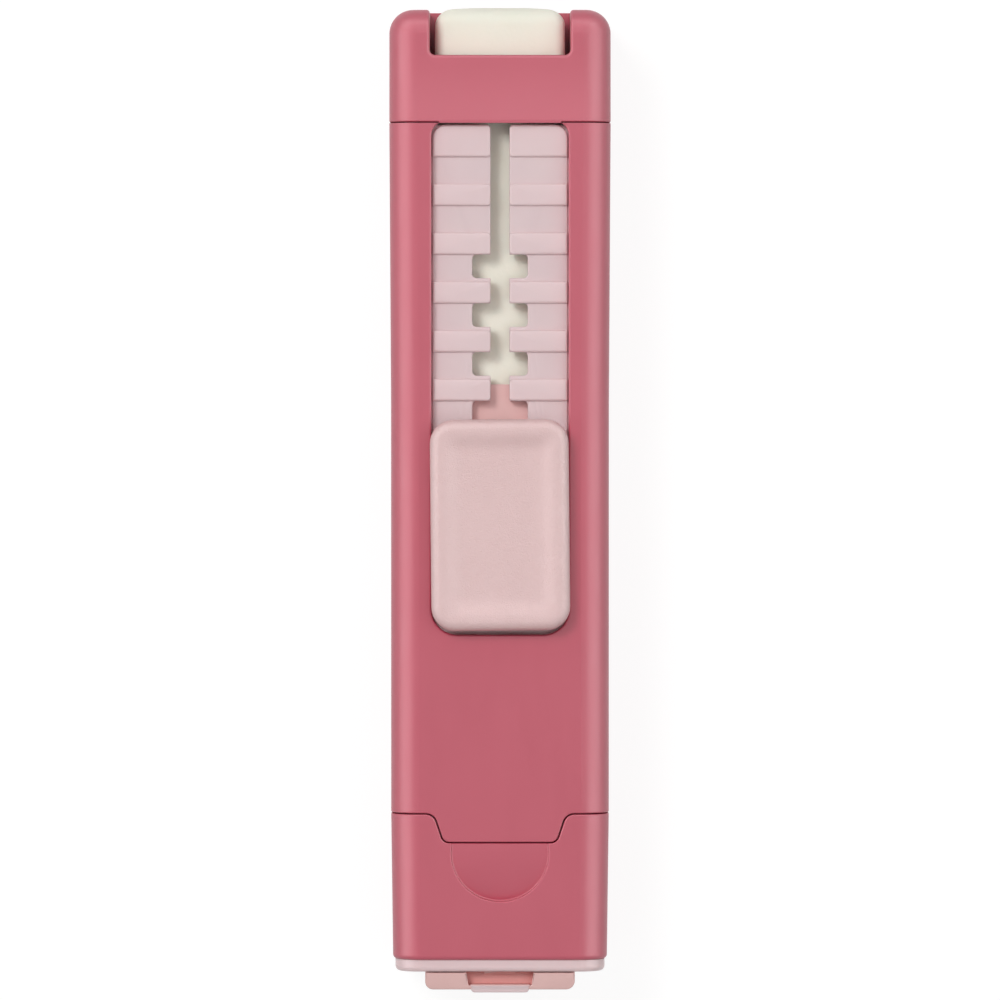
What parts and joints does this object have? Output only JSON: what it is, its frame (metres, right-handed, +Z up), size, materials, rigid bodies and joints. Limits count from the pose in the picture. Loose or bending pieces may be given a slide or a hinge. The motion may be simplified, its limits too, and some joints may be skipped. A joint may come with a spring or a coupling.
{
  "type": "pencil eraser stick",
  "caption": "Pocket eraser stick with a push-lock thumb slider on a toothed rail and a pencil sharpener with a shavings bin in its base.",
  "frame": {"origin": "under the middle of the length and width, on the back face that it lies on", "axes": "+X across to the right as the picture shows it, +Y along the stick toward the eraser tip, +Z up through the front face with the button"},
  "size_m": [0.0204, 0.0908, 0.0176],
  "materials": {
    "shell_red": "satin moulded",
    "trim_pink": "satin moulded",
    "inner_plastic": "moulded",
    "carrier_salmon": "moulded",
    "eraser_vinyl": "matt",
    "sharpener_metal": "satin",
    "blade_steel": "ground"
  },
  "bodies": {
    "housing": {"body_sleeve": "shell_red", "nose_cap": "shell_red", "rail_plate": "trim_pink"},
    "carrier": {"eraser_carrier": "carrier_salmon", "lock_spring": "inner_plastic"},
    "button": {"slider_button": "trim_pink", "button_stem": "inner_plastic"},
    "eraser_block": {"eraser": "eraser_vinyl"},
    "sharpener_unit": {"shavings_bin": "shell_red", "base_plate": "trim_pink", "sharpener_body": "sharpener_metal", "sharpener_blade": "blade_steel", "blade_screw": "blade_steel"},
    "door": {"hole_door": "trim_pink"}
  },
  "joints": [
    {"name": "carrier_slide", "type": "slide", "parent": "housing", "child": "carrier", "axis": [0, 1, 0], "range_m": [0, 0.02694]},
    {"name": "button_press", "type": "slide", "parent": "carrier", "child": "button", "axis": [0, 0, -1], "range_m": [0, 0.00085], "stiffness_N_per_m": 1200, "springref_m": -0.0003, "deforming": ["lock_spring"]},
    {"name": "eraser_pull", "type": "slide", "parent": "carrier", "child": "eraser_block", "axis": [0, 1, 0], "range_m": [0, 0.04]},
    {"name": "sharpener_pull", "type": "slide", "parent": "housing", "child": "sharpener_unit", "axis": [0, -1, 0], "range_m": [0, 0.03]},
    {"name": "door_hinge", "type": "hinge", "parent": "sharpener_unit", "child": "door", "pos_m": [0, -0.04439, 0.00147], "axis": [1, 0, 0], "range_deg": [0, 90]}
  ]
}
